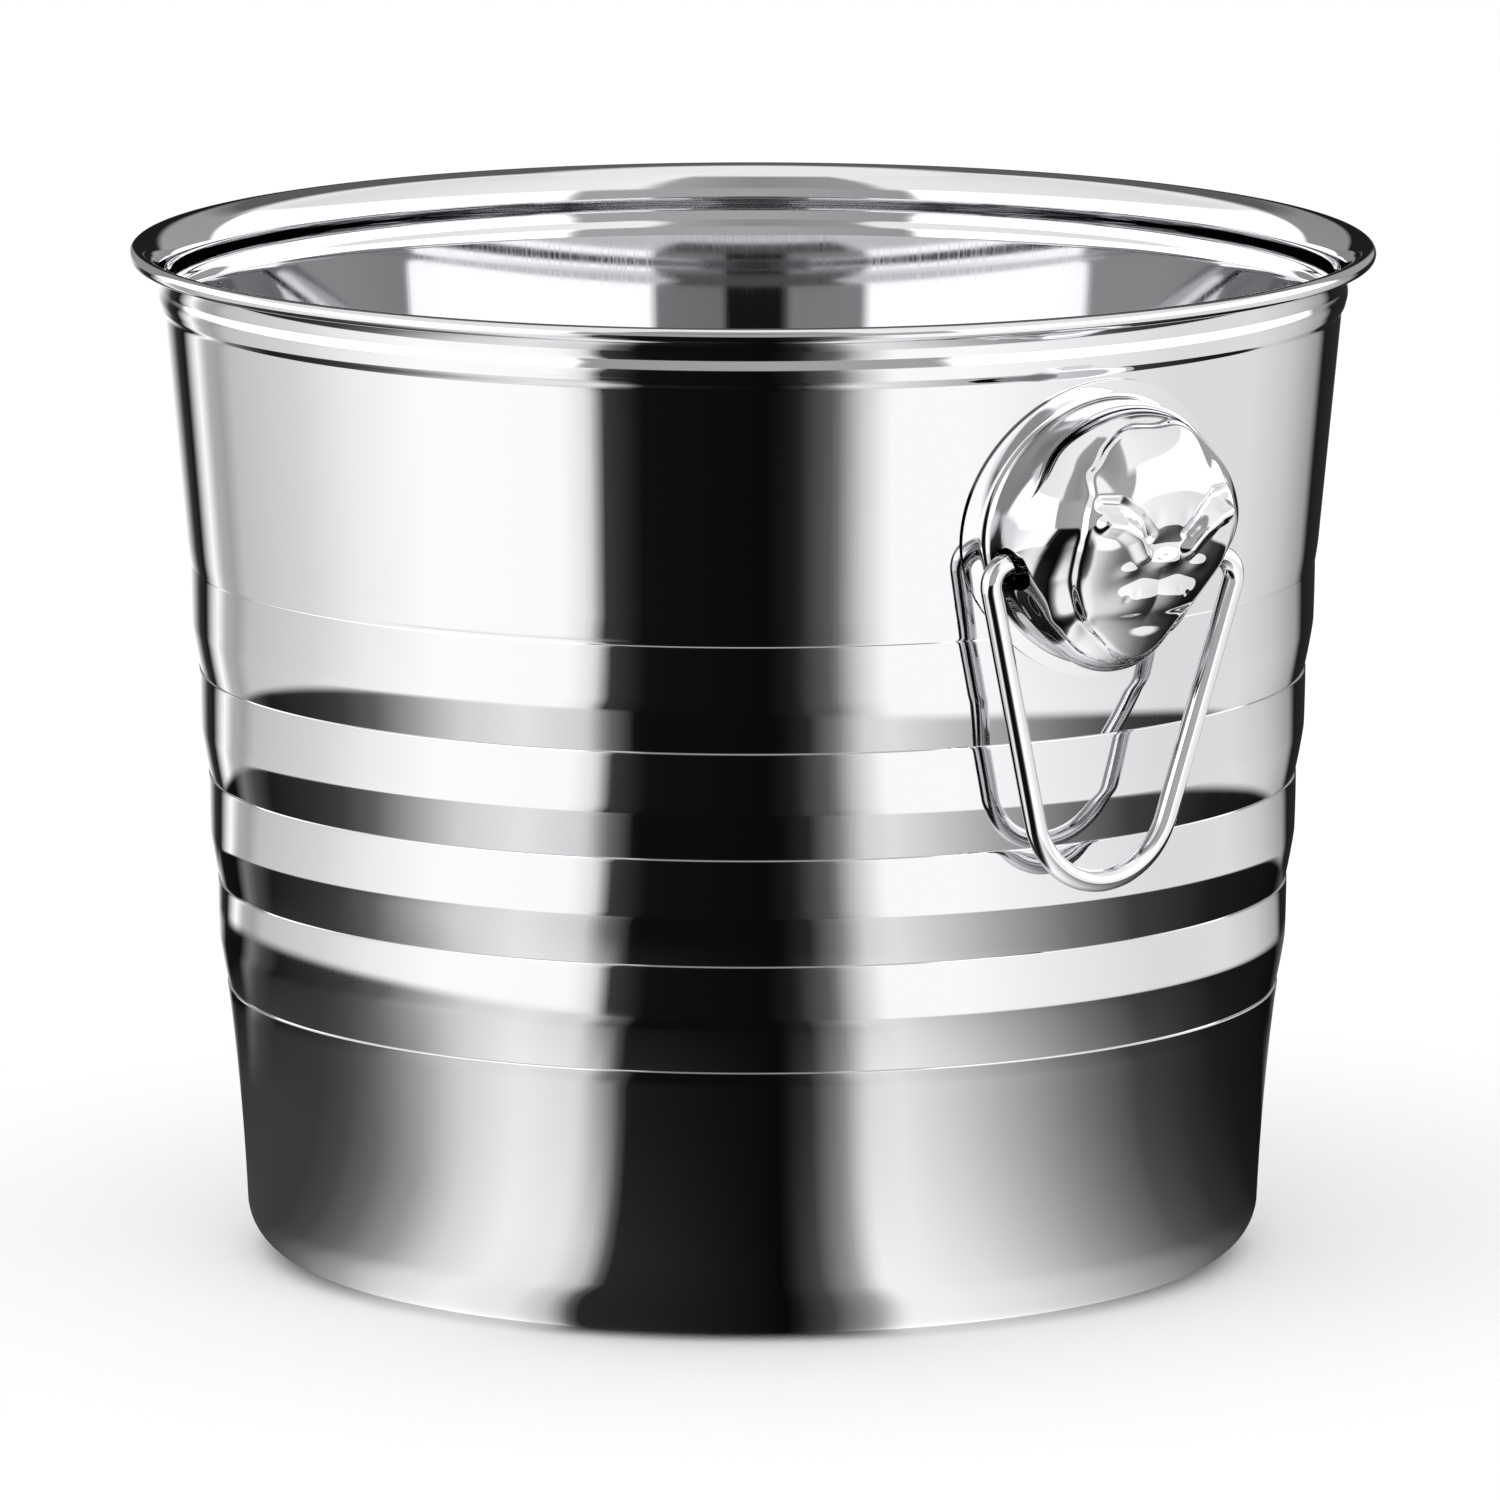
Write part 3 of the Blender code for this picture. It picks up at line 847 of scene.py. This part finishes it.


# The floor disc glows with painted reflections of a floor, with painted shade close round the bucket.
def painted_reflection_floor():
    material, tree = new_material("painted_reflection_floor_disc")
    place = node(tree, "ShaderNodeTexCoord").outputs["Object"]
    axes = node(tree, "ShaderNodeSeparateXYZ", i0=place).outputs
    angle = angle_from_camera(tree, axes)
    away = node(tree, "ShaderNodeVectorMath", {"operation": "DISTANCE"}, i0=place, i1=RINGS_MIDDLE)
    away = away.outputs["Value"]
    under = ramp_round(tree, angle, UNDER_FLOOR_STOPS)
    near = ramp_round(tree, angle, NEAR_FLOOR_STOPS)
    far = ramp_round(tree, angle, FAR_FLOOR_STOPS)
    end, blur = UNDER_FLOOR_ENDS, UNDER_FLOOR_BLUR
    is_near = step_at(tree, away, end - blur, end + blur, FLOOR_EDGE)
    start, blur = FAR_FLOOR_STARTS, FAR_FLOOR_BLUR
    is_far = step_at(tree, away, start - blur, start + blur, FLOOR_EDGE)
    glow(tree, mix(tree, is_far, mix(tree, is_near, under, near), far))
    return material


# %% Build the tent round the bucket
TENT_FLOOR_LEVEL = -0.5 * MM  # below the floor that the camera sees


def reflected_only(obj):
    """Hides it from the camera and from every light path but a mirror's."""
    obj.visible_camera = False
    obj.visible_diffuse = False
    obj.visible_shadow = False
    obj.visible_transmission = False
    obj.visible_volume_scatter = False


towards_camera = CAMERA_TURN - pi / 2
bm = bmesh.new()
bmesh.ops.create_uvsphere(bm, u_segments=64, v_segments=32, radius=TENT_RADIUS)
everything = bm.verts[:] + bm.edges[:] + bm.faces[:]
bmesh.ops.bisect_plane(bm, geom=everything, plane_co=(0, 0, 0), plane_no=(0, 0, 1), clear_inner=True)
tent = mesh_object(bm, "tent")
tent.rotation_euler.z = towards_camera
# Painted reflections, on the glowing walls of the tent.
tent.data.materials.append(painted_reflection_walls())
reflected_only(tent)

bm = bmesh.new()
bmesh.ops.create_circle(bm, cap_ends=True, segments=96, radius=TENT_RADIUS)
painted_reflection_floor_disc = mesh_object(bm, "painted_reflection_floor_disc")
painted_reflection_floor_disc.location.z = TENT_FLOOR_LEVEL
painted_reflection_floor_disc.rotation_euler.z = towards_camera
# Painted reflections and painted shade, on the glowing floor disc.
painted_reflection_floor_disc.data.materials.append(painted_reflection_floor())
reflected_only(painted_reflection_floor_disc)

# %% [markdown]
# The floor is a plain pale sheet, with soft light from all round and from one large lamp above, so
# the bucket stands in a faint shadow of its own.

# %% Floor, world and lamp
FLOOR_SIZE = 30.0
FLOOR_LEVEL = -0.2 * MM
WORLD_STRENGTH = 1.05
LAMP_POWER = 8
LAMP_SIZE = 2.0
LAMP_PLACE = (0.4, -0.9, 2.6)

bm = bmesh.new()
bmesh.ops.create_grid(bm, x_segments=1, y_segments=1, size=FLOOR_SIZE / 2)
floor = mesh_object(bm, "floor")
floor.location.z = FLOOR_LEVEL
floor_paint, tree = new_material("pale_floor")
floor_shader = node(tree, "ShaderNodeBsdfPrincipled", Base_Color=srgb("#f7f7f7"), Roughness=0.9)
node(tree, "ShaderNodeOutputMaterial", Surface=floor_shader.outputs[0])
floor.data.materials.append(floor_paint)
floor.visible_glossy = False

world = bpy.data.worlds.new("studio")
bpy.context.scene.world = world
world.use_nodes = True
world.node_tree.nodes["Background"].inputs["Color"].default_value = srgb("#ffffff")
world.node_tree.nodes["Background"].inputs["Strength"].default_value = WORLD_STRENGTH

lamp_data = bpy.data.lights.new("soft_lamp", "AREA")
lamp_data.shape = "DISK"
lamp_data.size = LAMP_SIZE
lamp_data.energy = LAMP_POWER
lamp = bpy.data.objects.new("soft_lamp", lamp_data)
lamp.location = LAMP_PLACE
lamp.rotation_euler = (radians(20), 0, radians(20))
lamp.visible_glossy = False
bpy.context.scene.collection.objects.link(lamp)
bpy.context.scene.view_settings.view_transform = "Standard"
